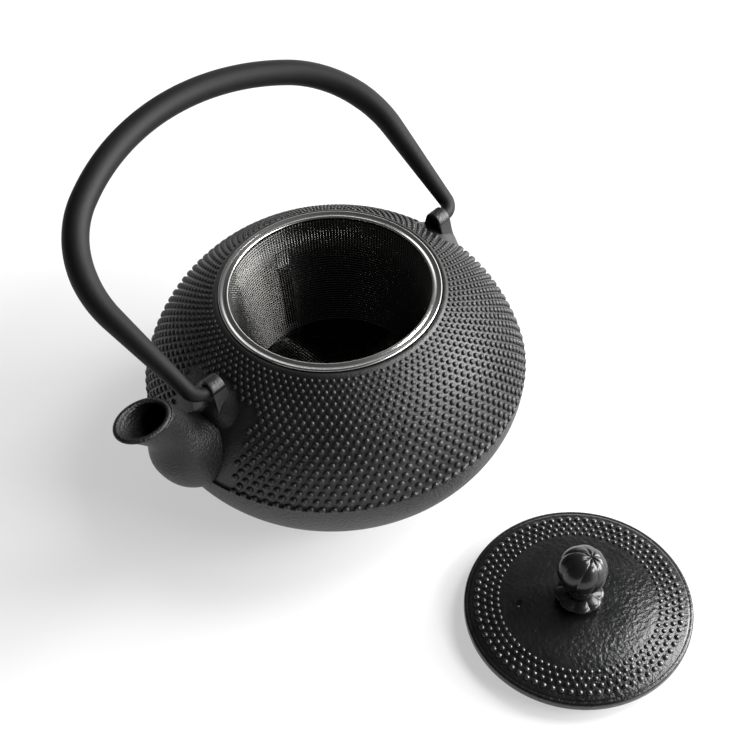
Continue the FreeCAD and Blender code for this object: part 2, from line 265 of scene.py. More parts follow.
def steel(name, tone, rough, stretch):
    """Stainless steel: noise, scaled apart on each axis, gives fine rubbing marks in the gloss."""
    material, tree, shader = new_material(name)
    place, turn = tree.nodes.new("ShaderNodeTexCoord"), tree.nodes.new("ShaderNodeMapping")
    turn.inputs["Scale"].default_value = stretch
    rub = tree.nodes.new("ShaderNodeTexNoise")
    rub.inputs["Scale"].default_value = 400.0
    gloss = tree.nodes.new("ShaderNodeMapRange")
    set_range(gloss, (0.0, 1.0), rough)
    tree.links.new(place.outputs["Object"], turn.inputs["Vector"])
    tree.links.new(turn.outputs["Vector"], rub.inputs["Vector"])
    tree.links.new(rub.outputs["Fac"], gloss.inputs["Value"])
    tree.links.new(gloss.outputs["Result"], shader.inputs["Roughness"])
    shader.inputs["Base Color"].default_value = (*tone, 1)
    shader.inputs["Metallic"].default_value = 1.0
    return material


# Each iron: dark and light colour, roughness range, scale of grit and cloud, share of grit, bump strength
# and, for the bowl alone, bump depth.
dome_iron = iron("dome_iron", (0.006, 0.006, 0.0062), (0.013, 0.013, 0.0134), (0.36, 0.48),
                 1300, 55, 0.75, 0.5)
# The bowl's rougher grit is its own; its lighter colour is painted light from the floor below.
bowl_grit_and_bounce_iron = iron("bowl_grit_and_bounce_iron", (0.014, 0.014, 0.0144), (0.027, 0.027, 0.0278), (0.42, 0.58),
                 900, 70, 0.85, 1.0, 0.0011)
# The spout's iron is darker than the dome's: painted shade on a part cast with the pot.
spout_shaded_iron = iron("spout_shaded_iron", (0.003, 0.003, 0.0031), (0.009, 0.009, 0.0093), (0.36, 0.50),
                  1100, 70, 0.8, 1.0)
handle_iron = iron("handle_iron", (0.002, 0.002, 0.0021), (0.005, 0.005, 0.0052), (0.54, 0.64),
                   900, 40, 0.5, 0.20)
lid_iron = iron("lid_iron", (0.004, 0.004, 0.0043), (0.008, 0.008, 0.0083), (0.17, 0.27),
                620, 90, 0.75, 0.55)
stud_iron = iron("stud_iron", (0.010, 0.010, 0.0103), (0.022, 0.022, 0.0225), (0.12, 0.20),
                 620, 90, 0.6, 0.2)
knob_iron = iron("knob_iron", (0.006, 0.006, 0.0065), (0.011, 0.011, 0.0115), (0.16, 0.28),
                 500, 120, 0.5, 0.15)
# Darker, rougher iron for the steam hole's wall: painted shade inside the hole.
vent_shade_iron = iron("vent_shade_iron", (0.002, 0.002, 0.002), (0.004, 0.004, 0.004), (0.85, 0.95),
                 900, 90, 0.7, 0.3)
rim_steel = steel("rim_steel", (0.60, 0.595, 0.58), (0.10, 0.20), (1, 1, 8))
# The mesh's steel is far darker than the rim's: painted shade for the basket's inside.
mesh_steel = steel("mesh_steel", (0.135, 0.135, 0.128), (0.14, 0.22), (1, 1, 1))
# Share of the plain shine that these finishes keep or gain; 0.5 is a shader's own.
for finish, level in ((handle_iron, 0.25), (spout_shaded_iron, 0.30), (stud_iron, 0.9)):
    finish.node_tree.nodes["Principled BSDF"].inputs["Specular IOR Level"].default_value = level


# Pot casting

def pot_outline():
    """Closed wall of the pot from the foot's centre, up outside, over the mouth and down inside."""
    foot_round, ridge_start, ridge_round = 1, 0.3, 0.9
    collar_round, collar_dip, lip_width, lip_drop = 1.1, 0.1, 0.4, 0.2
    foot_turn = math.acos((FOOT_RADIUS - BOWL_CORE) / (RIDGE_RADIUS - BOWL_CORE))
    inner_dome = bend((MOUTH_RADIUS, THROAT_HEIGHT), (RIDGE_RADIUS - WALL, RIDGE_HEIGHT), DOME_BULGE, 20)
    dome, _ = dome_at(np.linspace(1, 0, 40))
    return np.concatenate([
        [(0.0, 0.0), (FOOT_RADIUS * 0.7, 0.0)],
        rounded((FOOT_RADIUS, 0), (FOOT_RADIUS - foot_round, 0), (FOOT_RADIUS, foot_round)),
        bowl(RIDGE_RADIUS, BOWL_DEPTH, foot_turn, 34),
        rounded((RIDGE_RADIUS, RIDGE_HEIGHT + ridge_round), (RIDGE_RADIUS, RIDGE_HEIGHT + ridge_start),
                dome[0] + (0, ridge_round)),
        dome[2:-1],
        rounded((COLLAR_RADIUS - collar_round, COLLAR_TOP - collar_dip), dome[-1],
                (LEDGE_RADIUS + lip_width, COLLAR_TOP)),
        [(LEDGE_RADIUS, COLLAR_TOP - lip_drop), (LEDGE_RADIUS, LEDGE_HEIGHT), (MOUTH_RADIUS, LEDGE_HEIGHT)],
        inner_dome,
        bowl(RIDGE_RADIUS - WALL, BOWL_DEPTH - WALL, math.pi / 2, 24)[::-1],
        [(0.0, RIDGE_HEIGHT - BOWL_DEPTH + WALL)]])


def shell_with_bowl(points, faces):
    """Pot shell, one mesh: faces below the ridge, off the axis, take rough grit and painted light from the
    floor.
    """
    shell = make_piece("pot_shell", points, faces, "pot", "pot_iron", dome_iron, replaces="pot_body")
    shell.data.materials.append(bowl_grit_and_bounce_iron)
    middles = face_middles(shell)
    off_axis = np.hypot(middles[:, 0], middles[:, 1]) > BOWL_CORE
    low = (middles[:, 2] < RIDGE_HEIGHT + 0.1) & off_axis
    shell.data.polygons.foreach_set("material_index", low.astype(int))


def studs(centres, normals, radii, heights):
    """Round-topped pegs: rings of a few sides that rise straight, then close over in a dome.

    Each peg is a short stack of rings round its own normal: foot, side, shoulder and crown.
    """
    share = np.array([[1.0, -0.35], [0.97, 0.35], [0.80, 0.75], [0.42, 0.97]])
    helper = np.where(np.abs(normals[:, 2:3]) < 0.9, [[0, 0, 1.0]], [[1.0, 0, 0]])
    side = np.cross(helper, normals)
    side /= np.linalg.norm(side, axis=1, keepdims=True)
    other = np.cross(normals, side)
    turn = np.linspace(0, 2 * np.pi, STUD_SIDES, endpoint=False)
    around = (side[:, None, :] * np.cos(turn)[None, :, None]
              + other[:, None, :] * np.sin(turn)[None, :, None])
    rings = (centres[:, None, None, :]
             + around[:, None] * (radii[:, None] * share[:, 0])[:, :, None, None]
             + normals[:, None, None, :] * (heights[:, None] * share[:, 1])[:, :, None, None])
    count, levels = len(centres), len(share)
    crown = centres + normals * heights[:, None]
    points = np.concatenate([rings.reshape(count, -1, 3), crown[:, None, :]], axis=1)
    per = levels * STUD_SIDES + 1
    quads = grid_faces(levels, STUD_SIDES)
    base = np.arange(count)[:, None, None] * per
    edge = (levels - 1) * STUD_SIDES + np.arange(STUD_SIDES)
    fan = np.stack([edge, (levels - 1) * STUD_SIDES + (np.arange(STUD_SIDES) + 1) % STUD_SIDES,
                    np.full(STUD_SIDES, per - 1)], -1)
    foot = base[:, :, 0] + np.arange(STUD_SIDES)[::-1]
    faces = (base + quads[None]).reshape(-1, 4).tolist() + (base + fan[None]).reshape(-1, 3).tolist()
    return points.reshape(-1, 3), faces + foot.tolist()


def dome_studs():
    """Staggered hobnail rows whose spacing down the dome grows with the spacing round it."""
    shares, t = [], FIRST_ROW
    while t < LAST_ROW:
        shares.append(t)
        radius = dome_at([t])[0][0, 0]
        t += ROW_SPACING * (2 * math.pi * radius / STUD_COLUMNS) / DOME_ARC
    point, normal = dome_at(shares)
    row = np.arange(len(shares))[:, None]
    turn = 2 * np.pi * (np.arange(STUD_COLUMNS)[None, :] + 0.5 * (row % 2)) / STUD_COLUMNS
    cos, sin = np.cos(turn), np.sin(turn)
    centres = np.stack([point[:, :1] * cos, point[:, :1] * sin, point[:, 1:] + 0 * turn], -1)
    normals = np.stack([normal[:, :1] * cos, normal[:, :1] * sin, normal[:, 1:] + 0 * turn], -1)
    pitch = np.broadcast_to(2 * np.pi * point[:, :1] / STUD_COLUMNS, turn.shape).reshape(-1)
    centres, normals = centres.reshape(-1, 3), normals.reshape(-1, 3)
    x, y = np.abs(centres[:, 0]), np.abs(centres[:, 1])
    by_ear = np.hypot((x - EAR_RADIUS) / EAR_BARE[0], y / EAR_BARE[1]) < 1
    by_spout = (centres[:, 0] < -SPOUT_BARE[0]) & (y < SPOUT_BARE[1]) & (centres[:, 2] < SPOUT_BARE[2])
    keep = ~(by_ear | by_spout)
    size = pitch[keep]
    return studs(centres[keep], normals[keep], STUD_WIDTH * size, STUD_HEIGHT * size)


def eased(stations, steps):
    """Cubic curve through the stations' values, with the given steps between neighbours."""
    s = np.array(stations, float)
    s = np.concatenate([s[:1], s, s[-1:]])
    t = np.linspace(0, 1, steps, endpoint=False)[:, None]
    parts = []
    for a, b, c, d in zip(s, s[1:], s[2:], s[3:]):
        parts.append((-t / 2 + t ** 2 - t ** 3 / 2) * a + (1 - 2.5 * t ** 2 + 1.5 * t ** 3) * b
                     + (t / 2 + 2 * t ** 2 - 1.5 * t ** 3) * c + (-t ** 2 / 2 + t ** 3 / 2) * d)
    return np.concatenate(parts + [s[-1:]])


# Spout stations: reach past the ridge, height over it, lean in degrees, half depth and half width.
SPOUT = ((-16.6, 3.0, -65.0, 15.5, 13.0), (-3.4, 9.2, -55.0, 15.2, 12.0), (4.4, 18.8, -36.0, 12.0, 11.2),
         (7.6, 31.0, -18.0, 8.8, 7.9), (16.3, 43.8, -1.2, 11.1, 8.8))
# Thickness of the lip, and the ring at which the bore ends.
SPOUT_LIP, BORE_END = 2.2, 28


def spout_rings(stations, lift=0.0, sides=72):
    """Oval rings round the spout's stations: reach past the ridge, height over it, lean, two half sizes."""
    turn = np.linspace(0, 2 * np.pi, sides, endpoint=False)
    reach, rise, lean, deep, wide = (stations[:, i][:, None] for i in range(5))
    lean = np.radians(lean)
    along, across = deep * np.cos(turn), wide * np.sin(turn)
    lift = np.broadcast_to(np.asarray(lift, float).reshape(-1, 1), lean.shape)
    x = -(RIDGE_RADIUS + reach) + along * np.cos(lean) + lift * np.sin(lean)
    z = RIDGE_HEIGHT + rise - along * np.sin(lean) + lift * np.cos(lean)
    return np.stack([x, across, z], -1)


def spout():
    """Tapering spout: outside rings, a rounded lip, then the bore's rings back down to its blind end."""
    outer = eased(SPOUT, 10)
    lip_turn = np.linspace(0, np.pi, 9)[1:-1]
    lip = np.repeat(outer[-1:], len(lip_turn), axis=0)
    lip[:, 3:] -= (SPOUT_LIP / 2 * (1 - np.cos(lip_turn)))[:, None]
    inner = outer[::-1].copy()
    inner[:, 3:] -= SPOUT_LIP
    lifts = SPOUT_LIP / 2 * np.sin(lip_turn) - SPOUT_LIP / 2
    outer_rings = spout_rings(outer[:-1])
    lip_rings = spout_rings(lip, lifts)
    edge = spout_rings(outer[-1:], -SPOUT_LIP / 2)
    inner_edge = spout_rings(inner[:1], -SPOUT_LIP / 2)
    rings = np.concatenate([outer_rings, edge, lip_rings, inner_edge, spout_rings(inner[1:BORE_END])])
    return capped(rings)


def ear(sign):
    """Lug on the dome: a gable outline with a round top, whose edges round off towards its two faces.

    The foot widens towards the mouth with the cube of the depth, and thickens with its square.
    """
    half_base, base, top = 6.6, 69.5, 4.0
    half_shoulder, shoulder = 3.88, PIVOT_HEIGHT + 0.97
    spread, thickening, foot_top, foot_depth = 2.2, 0.35, 80.0, 10.0
    edge_round, sharpness, crown_start, middle_drop = 0.20, 0.98, 14, 6
    rise = np.linspace(0, 1, 20)
    flank = np.stack([half_base + (half_shoulder - half_base) * rise, base + (shoulder - base) * rise], -1)
    crown_turn = np.linspace(math.radians(crown_start), math.radians(180 - crown_start), 18)
    crown = np.stack([top * np.cos(crown_turn), PIVOT_HEIGHT + top * np.sin(crown_turn)], -1)
    outline = np.concatenate([flank, crown, flank[::-1] * (-1, 1)])
    middle = np.array([0.0, PIVOT_HEIGHT - middle_drop])
    across = np.linspace(-1, 1, 21)
    depth = EAR_THICKNESS / 2 * np.sin(across * np.pi / 2)
    inset = edge_round * (1 - np.sqrt(1 - sharpness * across ** 6))
    flat = middle + (outline - middle)[None] * (1 - inset)[:, None, None]
    low = np.clip((shoulder - flat[..., 1]) / (shoulder - base), 0, 1)
    flat[..., 0] += np.sign(flat[..., 0]) * spread * low ** 3 * (1 - across)[:, None]
    foot = 1 + thickening * np.clip((foot_top - flat[..., 1]) / foot_depth, 0, 1) ** 2
    x = EAR_RADIUS + depth[:, None] * foot
    rings = np.stack([sign * x, flat[..., 0], flat[..., 1]], -1)
    return capped(rings)


def ear_root(sign):
    """Fillet under an ear: the dome's own surface lifted in a low oval swelling that dies away."""
    middle, half_length, half_width, swell, sink = 0.40, 0.21, 12.0, 4.4, 0.12
    share = np.linspace(0, 1, 16)[:, None]
    turn = np.linspace(0, 2 * np.pi, 48, endpoint=False)[None, :]
    down = middle + half_length * share * np.cos(turn)
    around = half_width / EAR_RADIUS * share * np.sin(turn)
    height = (swell * (1 - share ** 2) ** 2 - sink * share ** 4) + 0 * turn
    point, normal = dome_at(down.reshape(-1))
    lifted = (point + normal * height.reshape(-1, 1)).reshape(*down.shape, 2)
    reach, level = lifted[..., 0], lifted[..., 1]
    rings = np.stack([sign * reach * np.cos(around), reach * np.sin(around), level], -1)
    under = np.broadcast_to(rings[-1].mean(axis=0), rings[-1:].shape)
    rings = np.concatenate([rings, under])
    return rings, grid_faces(len(rings), rings.shape[1])


# Bail handle

HANDLE_REACH, HANDLE_HALF_WIDTH = 98.0, 72.5
HANDLE_WIDEST, SHOULDER_RADIUS, ELBOW_RADIUS = 0.47 * HANDLE_REACH, 0.449 * HANDLE_REACH, 5.0
GRIP_DIAMETER, PIN_DIAMETER = 10.1, 5.2
TAPER_HEIGHT, TAPER_POWER = 0.6 * HANDLE_REACH, 0.65
HANDLE_LEAN = 63.0
# Gap between an ear and the elbow, and how far the pin's end stays inside the ear's inner face.
ELBOW_GAP, PIN_INSET = 0.7, 0.6


def bail_path():
    """Bail in its own plane: pin, elbow arc, tangent leg, shoulder arc and top arc, then the mirror image.

    Each row gives the place across and up, and the turn of the bar's outer side.
    """
    elbow = np.array([EAR_RADIUS + EAR_THICKNESS / 2 + ELBOW_GAP, ELBOW_RADIUS])
    shoulder = np.array([HANDLE_HALF_WIDTH - SHOULDER_RADIUS, HANDLE_WIDEST])
    drop = HANDLE_REACH - HANDLE_WIDEST
    top_radius = (shoulder[0] ** 2 + drop ** 2 - SHOULDER_RADIUS ** 2) / (2 * (drop - SHOULDER_RADIUS))
    top = np.array([0.0, HANDLE_REACH - top_radius])
    gap = shoulder - elbow
    leg = math.atan2(gap[1], gap[0]) - math.acos((ELBOW_RADIUS - SHOULDER_RADIUS) / np.hypot(*gap))
    crest = math.atan2(shoulder[1] - top[1], shoulder[0])
    pin_start = EAR_RADIUS - EAR_THICKNESS / 2 + PIN_INSET
    pin = np.stack([np.linspace(pin_start, elbow[0], 6), np.zeros(6), np.full(6, -np.pi / 2)], -1)
    stretches = [pin[:-1]]
    arcs = ((elbow, ELBOW_RADIUS, -np.pi / 2, leg, 14), (shoulder, SHOULDER_RADIUS, leg, crest, 40),
            (top, top_radius, crest, np.pi / 2, 24))
    for centre, radius, start, end, count in arcs:
        a = np.linspace(start, end, count)
        stretches.append(np.stack([centre[0] + radius * np.cos(a), centre[1] + radius * np.sin(a), a], -1))
    half = np.concatenate(stretches)
    other = half[:-1][::-1] * (-1, 1, -1) + (0, 0, np.pi)
    return np.concatenate([half, other])


def bail():
    """Round bar along the bail's path, thickest at the top, leaned back about the ears' axis."""
    path = bail_path()
    swell = np.clip(path[:, 1] / TAPER_HEIGHT, 0, 1) ** TAPER_POWER
    radius = (PIN_DIAMETER + (GRIP_DIAMETER - PIN_DIAMETER) * swell) / 2
    turn = np.linspace(0, 2 * np.pi, 32, endpoint=False)
    out = np.stack([np.cos(path[:, 2]), np.sin(path[:, 2])], -1)
    u = path[:, 0][:, None] + radius[:, None] * out[:, 0][:, None] * np.cos(turn)
    v = path[:, 1][:, None] + radius[:, None] * out[:, 1][:, None] * np.cos(turn)
    w = radius[:, None] * np.sin(turn)
    lean = math.radians(HANDLE_LEAN)
    y = v * math.sin(lean) + w * math.cos(lean)
    z = PIVOT_HEIGHT + v * math.cos(lean) - w * math.sin(lean)
    rings = np.stack([u, y, z], -1)
    return capped(rings)


# Tea basket

RIM_RADIUS, RIM_OPENING, RIM_TOP = 42.0, 38.1, 87.98
BASKET_TOP_RADIUS, BASKET_FLOOR_RADIUS, BASKET_FLOOR = 38.5, 33.2, 35.6
WIRE, WIRE_PITCH = 0.17, 1.2
WIRE_SQUARE = WIRE * np.array([[1, 1], [-1, 1], [-1, -1], [1, -1]])
UPRIGHT_TOP = LEDGE_HEIGHT - 0.4
FIRST_ROUND, LAST_ROUND, ROUND_INSET = BASKET_FLOOR + 0.8, LEDGE_HEIGHT - 0.5, 0.2
# Seam wires in degrees: first, end and step.
SEAM_TURNS, SEAM_INSET = (74.4, 82.1, 1.8), 0.7
FLOOR_INSET, FLOOR_LIFT = 0.6, 0.3
SKIRT_INNER, SKIRT_OUTER, SKIRT_SHOULDER, SKIRT_BOTTOM = 38.9, 39.5, 40.0, 80.8
SEAM_BOX = np.array(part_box("infuser_seam")) / MM


def rim_outline():
    """Pressed flange: a bead at each edge, a shallow trough between them and a skirt below."""
    bead, trough_inset, trough_dip, skirt_step = 0.6, 1.5, 0.12, 0.3
    middle, trough_top = LEDGE_HEIGHT + bead, RIM_TOP - 0.35
    around = np.linspace(-np.pi / 2, np.pi * 0.6, 10)
    outer = np.stack([RIM_RADIUS - bead + bead * np.cos(around), middle + bead * np.sin(around)], -1)
    back = np.linspace(np.pi * 0.4, np.pi * 1.5, 10)
    inner = np.stack([RIM_OPENING + bead + bead * np.cos(back), middle + bead * np.sin(back)], -1)
    trough = bend((RIM_RADIUS - trough_inset, trough_top), (RIM_OPENING + trough_inset, trough_top),
                  -trough_dip, 8)
    skirt = np.array([(SKIRT_INNER, LEDGE_HEIGHT), (SKIRT_INNER, SKIRT_BOTTOM), (SKIRT_OUTER, SKIRT_BOTTOM),
                      (SKIRT_OUTER, LEDGE_HEIGHT - skirt_step), (SKIRT_SHOULDER, LEDGE_HEIGHT)])
    return np.concatenate([outer, trough, inner, skirt, outer[:1]])


def wires(starts, ends):
    """Straight wires as four-sided bars: each end is a small square round the wire's own line."""
    line = ends - starts
    line /= np.linalg.norm(line, axis=1, keepdims=True)
    helper = np.where(np.abs(line[:, 2:3]) < 0.7, [[0, 0, 1.0]], [[1.0, 0, 0]])
    side = np.cross(line, helper)
    side /= np.linalg.norm(side, axis=1, keepdims=True)
    other = np.cross(line, side)
    square = side[:, None] * WIRE_SQUARE[None, :, :1] + other[:, None] * WIRE_SQUARE[None, :, 1:]
    points = np.stack([starts[:, None] + square, ends[:, None] + square], 1)
    quads = np.concatenate([grid_faces(2, 4), [[3, 2, 1, 0], [4, 5, 6, 7]]])
    faces = (np.arange(len(starts))[:, None, None] * 8 + quads[None]).reshape(-1, 4)
    return points.reshape(-1, 3), faces


def wall_radius(height):
    """Radius of the tapered wall: straight from the floor's round to the ledge's."""
    share = (height - BASKET_FLOOR) / (LEDGE_HEIGHT - BASKET_FLOOR)
    return BASKET_FLOOR_RADIUS + (BASKET_TOP_RADIUS - BASKET_FLOOR_RADIUS) * share


def wall_uprights():
    """Upright wires of the tapered wall: straight lines from the floor's round to the rim's."""
    count = int(2 * np.pi * BASKET_TOP_RADIUS / WIRE_PITCH)
    turn = np.linspace(0, 2 * np.pi, count, endpoint=False)
    way = np.stack([np.cos(turn), np.sin(turn)], -1)
    low = np.concatenate([way * BASKET_FLOOR_RADIUS, np.full((count, 1), BASKET_FLOOR)], 1)
    high = np.concatenate([way * BASKET_TOP_RADIUS, np.full((count, 1), UPRIGHT_TOP)], 1)
    return wires(low, high)


def seam_wires():
    """Overlapped strip of the wall: upright wires at about the wall's own pitch, set just inside it."""
    turn = np.radians(np.arange(*SEAM_TURNS))
    way = np.stack([np.cos(turn), np.sin(turn)], -1)
    ends = []
    for height in (SEAM_BOX[0][2] + WIRE, SEAM_BOX[1][2] - WIRE):
        radius = wall_radius(height) - SEAM_INSET
        ends.append(np.concatenate([way * radius, np.full((len(turn), 1), height)], 1))
    return wires(*ends)


def wall_rounds(sides=160):
    """Level wires of the tapered wall: one square-section ring for each pitch of height."""
    heights = np.arange(FIRST_ROUND, LAST_ROUND, WIRE_PITCH)
    radius = wall_radius(heights) - ROUND_INSET
    turn = np.linspace(0, 2 * np.pi, sides, endpoint=False)
    r = radius[:, None, None] + WIRE_SQUARE[None, None, :, 0] + 0 * turn[None, :, None]
    z = heights[:, None, None] + WIRE_SQUARE[None, None, :, 1] + 0 * turn[None, :, None]
    points = np.stack([r * np.cos(turn)[None, :, None], r * np.sin(turn)[None, :, None], z], -1)
    quads = grid_faces(sides, 4, close_rows=True)
    faces = (np.arange(len(heights))[:, None, None] * sides * 4 + quads[None, :, ::-1]).reshape(-1, 4)
    return points.reshape(-1, 3), faces


def floor_wires():
    """Crossed wires of the basket's floor, each cut to its chord of the round."""
    start_gap, end_gap = 0.6, 0.5
    radius = BASKET_FLOOR_RADIUS - FLOOR_INSET
    place = np.arange(-radius + start_gap, radius - end_gap, WIRE_PITCH)
    chord = np.sqrt(radius ** 2 - place ** 2)
    level = np.full_like(place, BASKET_FLOOR + FLOOR_LIFT)
    along = [np.stack([sign * chord, place, level], -1) for sign in (-1, 1)]
    across = [np.stack([place, sign * chord, level + 2 * WIRE], -1) for sign in (-1, 1)]
    return wires(np.concatenate([along[0], across[0]]), np.concatenate([along[1], across[1]]))


# Lid and knob

LID_RADIUS, LID_EDGE_TOP, LID_RING_DEPTH, LID_PLATE = 42.6, 8.5, 4.5, 4.0
LID_SHOULDER, LID_BAND_INNER, LID_BAND_TOP, LID_SLOPE = 40.6, 28.5, 10.7, 0.182
LID_RING_INNER, LID_RING_OUTER = 34.3, 37.5
BOSS_RADIUS, SCREW_HOLE = 11.0, 2.1
VENT_DISTANCE, VENT_AZIMUTH, VENT_DIAMETER = 22.4, 138.0, 2.9
# Ends of the cutters, and how far past the steam hole's radius its wall and the flat faces round it reach.
EAR_CUT, LID_CUT = (50.0, 70.0), (0.0, 20.0)
VENT_WALL, VENT_FLAT = 0.02, 1.0


def lid_height(radius):
    """Height of the lid's top in its stud band: a straight slope up from the shoulder."""
    return LID_EDGE_TOP + (LID_SHOULDER - radius) * LID_SLOPE


def lid_outline():
    """Closed section of the lid: the underside, the locating ring, the edge and back over the top."""
    ring_round, seat, edge_round, bead, dip, band_start = 0.8, 39.5, 41.4, 41.2, 40.9, 40.2
    under = LID_TOP - LID_PLATE
    crown = bend((LID_BAND_INNER, lid_height(LID_BAND_INNER)), (BOSS_RADIUS, LID_TOP), 0.35, 12)
    band = np.linspace(band_start, LID_BAND_INNER + 0.3, 14)
    edge_low = (LID_RADIUS, LID_RING_DEPTH + 1.2)
    edge_high = (LID_RADIUS, LID_EDGE_TOP - 1.6)
    return np.concatenate([
        [(SCREW_HOLE, under), (BOSS_RADIUS, under), (LID_BAND_INNER, LID_BAND_TOP - LID_PLATE),
         (LID_RING_INNER, LID_RING_DEPTH)],
        rounded((LID_RING_INNER, 0), (LID_RING_INNER, ring_round), (LID_RING_INNER + ring_round, 0)),
        rounded((LID_RING_OUTER, 0), (LID_RING_OUTER - ring_round, 0), (LID_RING_OUTER, ring_round)),
        [(LID_RING_OUTER, LID_RING_DEPTH), (seat, LID_RING_DEPTH)],
        rounded((LID_RADIUS, LID_RING_DEPTH), (edge_round, LID_RING_DEPTH), edge_low),
        rounded((LID_RADIUS, LID_EDGE_TOP - 0.3), edge_high, (edge_round, LID_EDGE_TOP - 0.25), 8),
        rounded((dip, LID_EDGE_TOP - 0.25), (bead, LID_EDGE_TOP - 0.28), (LID_SHOULDER, LID_EDGE_TOP)),
        np.stack([band, lid_height(band)], -1),
        crown, [(BOSS_RADIUS / 2, LID_TOP), (SCREW_HOLE, LID_TOP), (SCREW_HOLE, under)]])


def lid_stud_rows():
    """Staggered rows of small studs on the lid's sloping band."""
    row = np.arange(len(LID_ROWS))[:, None]
    radius = np.array(LID_ROWS)[:, None]
    turn = 2 * np.pi * (np.arange(LID_STUDS)[None, :] + 0.5 * (row % 2)) / LID_STUDS
    height = lid_height(radius) + 0 * turn
    cos, sin = np.cos(turn), np.sin(turn)
    centres = np.stack([radius * cos, radius * sin, height], -1).reshape(-1, 3) + LID_CENTRE
    lean = math.atan(LID_SLOPE)
    normals = np.stack([math.sin(lean) * cos, math.sin(lean) * sin, math.cos(lean) + 0 * turn], -1)
    size = np.broadcast_to(2 * np.pi * radius / LID_STUDS, turn.shape).reshape(-1)
    return studs(centres, normals.reshape(-1, 3), LID_STUD_WIDTH * size, LID_STUD_HEIGHT * size)


KNOB_RADIUS, KNOB_MIDDLE, KNOB_LOBES = 9.2, LID_TOP + 18.4, 8
KNOB_TILT, KNOB_LEAN_AXIS = math.radians(20.0), (0.7155, 0.6986, 0.0)
FLUTE_DEPTH, DIMPLE_DEPTH, STAR_HEIGHT = 0.075, 1.7, 1.1
# Shares of the knob's radius that the dimple spreads over, and over which the star fades out at the pole.
DIMPLE_SPREAD, STAR_FADE = 0.34, 0.07
SEAT_TOP = LID_TOP + 5.0
NECK = np.array([(SCREW_HOLE, 0), (4.9, 0), (4.6, 1.2), (4.3, 4.0), (3.6, 5.8), (SCREW_HOLE, 5.8)])
KNOB_SIDES, SEAT_SIDES, PETALS = 128, 160, 8


def knob():
    """Lobed fruit: a ball drawn in along its flutes, with a starry dimple on top, leaning over its neck."""
    latitude = np.linspace(-math.pi / 2, math.pi / 2, 52)[:, None]
    turn = np.linspace(0, 2 * np.pi, KNOB_SIDES, endpoint=False)[None, :]
    lobe = np.abs(np.cos(turn * KNOB_LOBES / 2)) ** 0.5
    flute = 1 - FLUTE_DEPTH * (1 - lobe) * np.clip(np.cos(latitude * 0.9), 0, 1) ** 0.6
    r = KNOB_RADIUS * np.cos(latitude) * flute
    crown = np.exp(-(np.cos(latitude) / DIMPLE_SPREAD) ** 2) * (latitude > 0)
    star = lobe * (1 - np.exp(-(np.cos(latitude) / STAR_FADE) ** 2))
    z = KNOB_RADIUS * np.sin(latitude) - crown * (DIMPLE_DEPTH - STAR_HEIGHT * star)
    ball = np.stack([r * np.cos(turn), r * np.sin(turn), z], -1)
    lean = np.array(Matrix.Rotation(KNOB_TILT, 3, Vector(KNOB_LEAN_AXIS)))
    ball = ball @ lean.T + np.array([0.0, 0.0, KNOB_MIDDLE])
    neck, _ = turned(NECK + (0, SEAT_TOP), KNOB_SIDES)
    neck_faces = grid_faces(len(neck), KNOB_SIDES, close_rows=True)
    ball_faces = grid_faces(len(ball), KNOB_SIDES) + neck.size // 3
    return np.concatenate([neck, ball]) + LID_CENTRE, np.concatenate([neck_faces, ball_faces])


def knob_seat():
    """Flower washer: petals swell between notches, rise to a rim and dip back in to the knob's neck."""
    neck, swell, notch, height, crest, foot, draw = 4.4, 4.6, 0.16, 4.95, 0.5, 7.0, 3.0
    turn = np.linspace(0, 2 * np.pi, SEAT_SIDES, endpoint=False)[None, :]
    petal = np.abs(np.cos(turn * PETALS / 2)) ** 0.7
    s = np.linspace(0, 1, 26)[:, None]
    reach = neck + swell * np.sin(np.pi * s) ** 0.8 * (1 - notch + notch * petal)
    rise = LID_TOP + height * s ** 0.8 + crest * petal * np.sin(np.pi * s)
    reach = np.where(s < 0.5, np.maximum(reach, foot - draw * s), reach)
    rings = np.stack([reach * np.cos(turn), reach * np.sin(turn), rise], -1)
    bore, _ = turned(np.array([(SCREW_HOLE, LID_TOP), (SCREW_HOLE, SEAT_TOP)]), SEAT_SIDES)
    rings = np.concatenate([bore[:1], rings, bore[1:]]) + LID_CENTRE
    return rings, grid_faces(len(rings), SEAT_SIDES, close_rows=True)


def bored_ear(side, sign):
    """Ear with its pin hole, whose wall is shaded flat."""
    lug = make_piece("ear_" + side, *ear(sign), "pot", "pot_iron", dome_iron)
    drill(lug, (0.0, PIVOT_HEIGHT), EAR_BORE / 2, *sorted(sign * end for end in EAR_CUT), level=True)
    from_pin = np.hypot(*(face_middles(lug)[:, 1:] - (0.0, PIVOT_HEIGHT)).T)
    lug.data.polygons.foreach_set("use_smooth", from_pin > EAR_BORE / 2)


def vented_lid():
    """Lid with its steam hole, whose darker, rougher wall is painted shade, with flat faces round it."""
    plate = make_piece("lid_plate", *turned(lid_outline(), 192, LID_CENTRE), "cover", "lid_iron", lid_iron,
                       replaces="lid")
    turn = math.radians(VENT_AZIMUTH)
    vent = LID_CENTRE[:2] + VENT_DISTANCE * np.array([math.cos(turn), math.sin(turn)])
    drill(plate, vent, VENT_DIAMETER / 2, *LID_CUT)
    # The hole's wall gets the darker iron, painted shade.
    plate.data.materials.clear()
    for finish in (lid_iron, vent_shade_iron):
        plate.data.materials.append(finish)
    from_vent = np.hypot(*(face_middles(plate)[:, :2] - vent).T)
    in_vent = from_vent < VENT_DIAMETER / 2 + VENT_WALL
    plate.data.polygons.foreach_set("material_index", in_vent.astype(int))
    plate.data.polygons.foreach_set("use_smooth", from_vent > VENT_DIAMETER / 2 + VENT_FLAT)


